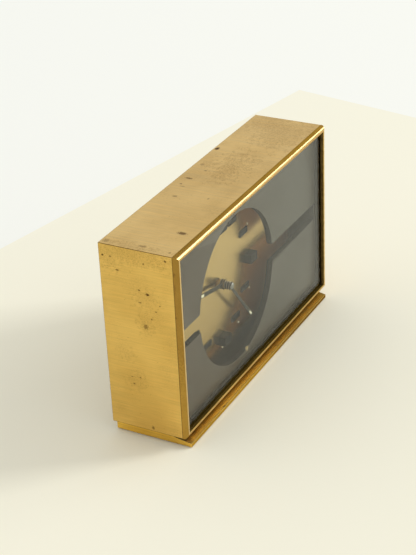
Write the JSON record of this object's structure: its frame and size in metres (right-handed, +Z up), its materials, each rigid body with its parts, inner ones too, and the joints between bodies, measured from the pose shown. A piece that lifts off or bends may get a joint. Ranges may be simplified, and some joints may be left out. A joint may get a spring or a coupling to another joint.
{
  "type": "table clock",
  "caption": "Oblong brass table clock with an off-centre skeleton dial behind a black mask and glass, block hour markers, baton hands and a rear setting knob, on a low plinth.",
  "frame": {"origin": "on the table, under the middle of the case's width and depth", "axes": "+X right as the dial is read, +Y towards the back, +Z up; the dial faces -Y"},
  "size_m": [0.2, 0.0578, 0.1258],
  "materials": {
    "brushed_brass": "brushed, aged, with patina stains",
    "polished_brass": "polished",
    "satin_brass": "fine satin",
    "pad_rubber": "matte",
    "clear_glass": "polished",
    "black_panel": "matte",
    "black_lacquer": "satin lacquer",
    "lume": "matte luminous filling",
    "cover_brass": "brushed",
    "movement_brass": "machined",
    "steel": "turned",
    "magnet": "ground",
    "copper_winding": "enamelled copper wire",
    "lead_plastic": "smooth",
    "holder_plastic": "moulded",
    "board": "smooth",
    "cell_wrap": "plain wrap"
  },
  "bodies": {
    "case": {"back_cover": "cover_brass", "base_pad": "pad_rubber", "battery_cell": "cell_wrap", "battery_holder": "holder_plastic", "bezel_bottom": "polished_brass", "bezel_left": "polished_brass", "bezel_right": "polished_brass", "bezel_top": "polished_brass", "board_posts": "holder_plastic", "case_bottom": "brushed_brass", "case_left": "brushed_brass", "case_right": "brushed_brass", "case_top": "brushed_brass", "circuit_board": "board", "contact_strips": "steel", "corner_posts": "movement_brass", "cover_screws": "steel", "dial_plate": "satin_brass", "dial_screws": "steel", "dial_spacer": "black_panel", "driver_chip": "holder_plastic", "front_glass": "clear_glass", "glass_spacer": "black_panel", "hour_plates": "black_lacquer", "lume_dots": "lume", "mask_panel": "black_panel", "motor_coil": "copper_winding", "motor_leads": "lead_plastic", "movement_feet": "movement_brass", "movement_front_plate": "movement_brass", "movement_pillars": "movement_brass", "movement_rear_plate": "movement_brass", "movement_screws": "steel", "plinth": "polished_brass", "plinth_screws": "steel", "quarter_blocks": "black_lacquer", "quartz_can": "steel", "stator_cup": "steel"},
    "minute": {"minute_hand": "black_lacquer", "minute_hand_lume": "lume", "hand_nut": "black_lacquer", "cannon_pinion": "movement_brass"},
    "hour": {"hour_hand": "black_lacquer", "hour_hand_lume": "lume", "hour_wheel": "movement_brass"},
    "setting": {"minute_wheel": "movement_brass", "minute_pinion": "steel", "setting_arbor": "steel", "set_knob": "cover_brass"},
    "center": {"center_arbor": "steel", "center_wheel": "movement_brass"},
    "third": {"third_wheel": "movement_brass", "third_arbor": "steel"},
    "rotor": {"rotor_arbor": "steel", "rotor_magnet": "magnet"}
  },
  "joints": [
    {"name": "minute_turn", "type": "hinge", "parent": "case", "child": "minute", "pos_m": [-0.0202, 0, 0.06655], "axis": [0, 1, 0], "continuous": true},
    {"name": "hour_turn", "type": "hinge", "parent": "case", "child": "hour", "pos_m": [-0.0202, 0, 0.06655], "axis": [0, 1, 0], "continuous": true},
    {"name": "setting_turn", "type": "hinge", "parent": "case", "child": "setting", "pos_m": [-0.0202, 0, 0.05071], "axis": [0, 1, 0], "continuous": true},
    {"name": "third_turn", "type": "hinge", "parent": "case", "child": "third", "pos_m": [-0.013, 0, 0.07902], "axis": [0, 1, 0], "continuous": true},
    {"name": "center_turn", "type": "hinge", "parent": "case", "child": "center", "pos_m": [-0.0202, 0, 0.06655], "axis": [0, 1, 0], "continuous": true},
    {"name": "rotor_turn", "type": "hinge", "parent": "case", "child": "rotor", "pos_m": [-0.00022, 0, 0.07437], "axis": [0, 1, 0], "continuous": true}
  ],
  "couplings": [
    {"joint": "hour_turn", "follows": "minute_turn", "ratio": 0.083333},
    {"joint": "setting_turn", "follows": "minute_turn", "ratio": -0.33333},
    {"joint": "center_turn", "follows": "third_turn", "ratio": -0.125},
    {"joint": "rotor_turn", "follows": "third_turn", "ratio": -7.5}
  ]
}
